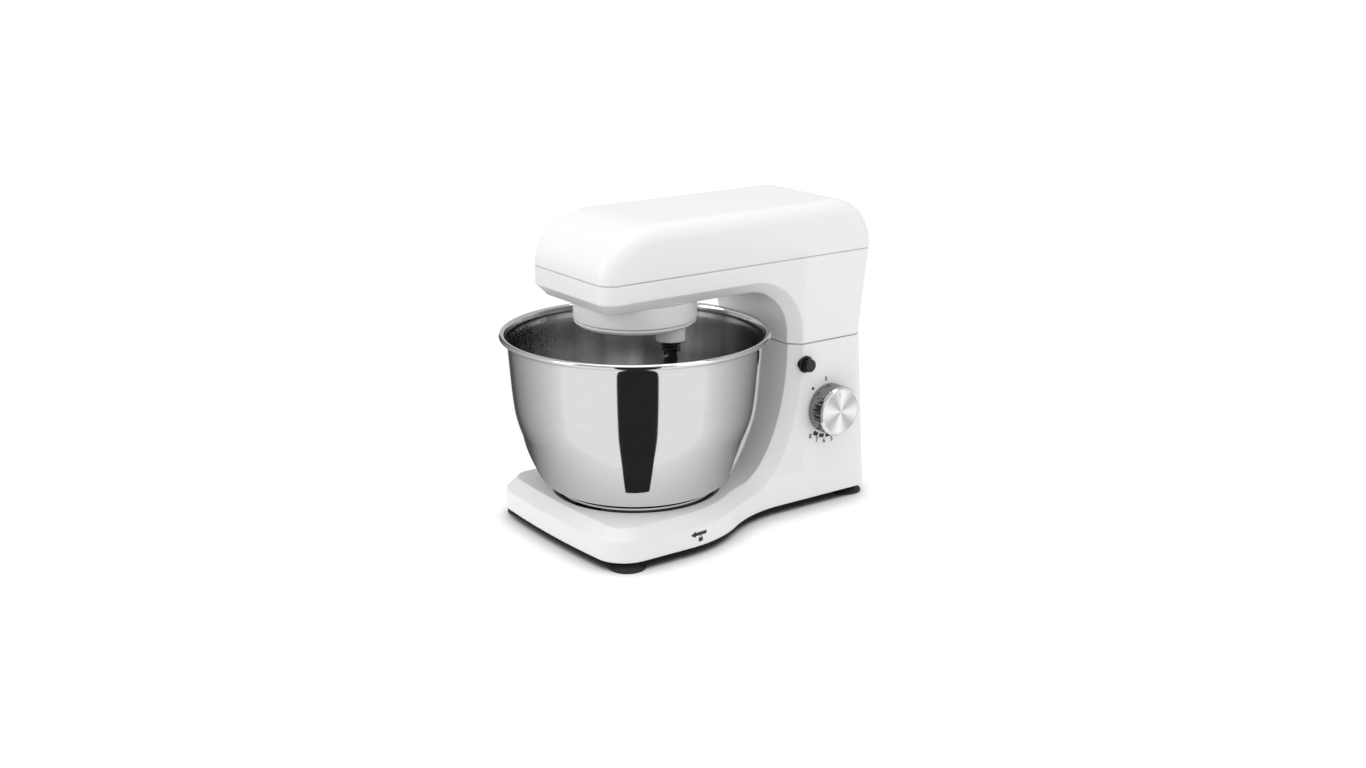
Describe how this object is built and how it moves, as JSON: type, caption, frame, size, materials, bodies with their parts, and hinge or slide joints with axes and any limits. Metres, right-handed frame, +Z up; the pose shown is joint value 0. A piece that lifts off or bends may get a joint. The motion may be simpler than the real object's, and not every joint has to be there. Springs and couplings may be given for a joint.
{
  "type": "stand mixer",
  "caption": "Tilt-head kitchen stand mixer with planetary drive, sprung attachment spindle, twist-lock steel bowl, speed dial and head release button.",
  "frame": {"origin": "centre of the bounding box at floor level, on the casing's middle plane", "axes": "+Z up, -Y towards the nose and bowl, +X towards the speed dial side"},
  "size_m": [0.236, 0.3404, 0.28],
  "materials": {
    "white_casing": "satin gloss moulding",
    "dark_plastic": "matt moulding",
    "black_rubber": "matt rubber",
    "bowl_steel": "polished stainless",
    "machined_steel": "machined",
    "blackened_steel": "black oxide",
    "chromed_pin": "plated",
    "gear_plastic": "natural nylon",
    "cast_aluminium": "as cast",
    "copper": "enamelled copper",
    "board_laminate": "paper laminate",
    "dial_chrome": "dark plated plastic",
    "dial_aluminium": "spun brushed"
  },
  "bodies": {
    "base": {"base_shell": "white_casing", "bottom_plate": "dark_plastic", "plate_screws": "machined_steel", "suction_feet": "black_rubber", "bowl_seat_ring": "dark_plastic", "hinge_pin": "machined_steel", "speed_switch": "dark_plastic", "control_board": "board_laminate", "board_posts": "machined_steel", "heat_sink": "cast_aluminium", "line_capacitor": "dark_plastic", "button_bezel": "dark_plastic", "latch_bracket": "machined_steel", "latch_pin": "machined_steel", "cord_gland": "dark_plastic"},
    "bowl": {"mixing_bowl": "bowl_steel", "bowl_foot": "bowl_steel"},
    "head": {"head_top_cover": "white_casing", "head_lower_shell": "white_casing", "planetary_drum": "white_casing", "ring_gear": "gear_plastic", "gearbox_frame": "cast_aluminium", "drive_belt": "black_rubber", "motor_plate": "machined_steel", "motor_end_plate": "machined_steel", "motor_posts": "machined_steel", "motor_stator": "machined_steel", "motor_windings": "copper", "carbon_brushes": "dark_plastic", "latch_catch": "machined_steel"},
    "planet": {"planet_disc": "white_casing", "main_shaft": "machined_steel", "main_gear": "gear_plastic"},
    "spindle": {"spindle_shaft": "blackened_steel", "cross_pin": "chromed_pin", "planet_pinion": "gear_plastic", "spindle_spring": "blackened_steel", "spring_washer": "machined_steel"},
    "counter": {"counter_shaft": "machined_steel", "counter_pinion": "gear_plastic", "drive_pulley": "gear_plastic"},
    "rotor": {"rotor_shaft": "machined_steel", "rotor_core": "machined_steel", "commutator": "copper", "cooling_fan": "dark_plastic", "motor_pulley": "gear_plastic"},
    "dial": {"speed_dial": "dial_chrome", "dial_face": "dial_aluminium", "dial_shaft": "machined_steel"},
    "button": {"release_button": "black_rubber"},
    "latch": {"latch_lever": "machined_steel"}
  },
  "joints": [
    {"name": "head_tilt", "type": "hinge", "parent": "base", "child": "head", "pos_m": [0, 0.15275, 0.16285], "axis": [-1, 0, 0], "range_deg": [0, 35]},
    {"name": "bowl_twist", "type": "hinge", "parent": "base", "child": "bowl", "pos_m": [0, -0.05225, 0.03], "axis": [0, 0, 1], "range_deg": [0, 25]},
    {"name": "planet_spin", "type": "hinge", "parent": "head", "child": "planet", "pos_m": [0, -0.05225, 0.2], "axis": [0, 0, 1], "continuous": true},
    {"name": "spindle_spin", "type": "hinge", "parent": "planet", "child": "spindle", "pos_m": [0.02522, -0.03255, 0.18], "axis": [0, 0, 1], "continuous": true},
    {"name": "counter_spin", "type": "hinge", "parent": "head", "child": "counter", "pos_m": [0, -0.00715, 0.22], "axis": [0, 0, 1], "continuous": true},
    {"name": "motor_spin", "type": "hinge", "parent": "head", "child": "rotor", "pos_m": [0, 0.11575, 0.2], "axis": [0, 0, 1], "continuous": true},
    {"name": "dial_turn", "type": "hinge", "parent": "base", "child": "dial", "pos_m": [0.061, 0.11725, 0.092], "axis": [-1, 0, 0], "range_deg": [-45, 220]},
    {"name": "button_press", "type": "slide", "parent": "base", "child": "button", "axis": [-1, 0, 0], "range_m": [0, 0.005], "stiffness_N_per_m": 400},
    {"name": "latch_tip", "type": "hinge", "parent": "base", "child": "latch", "pos_m": [0.034, 0.08975, 0.114], "axis": [0, -1, 0], "range_deg": [0, 13.8]}
  ],
  "couplings": [
    {"joint": "spindle_spin", "follows": "planet_spin", "ratio": -3.5},
    {"joint": "counter_spin", "follows": "planet_spin", "ratio": -4},
    {"joint": "motor_spin", "follows": "planet_spin", "ratio": -22.857},
    {"joint": "latch_tip", "follows": "button_press", "rad_per_m": 48}
  ]
}
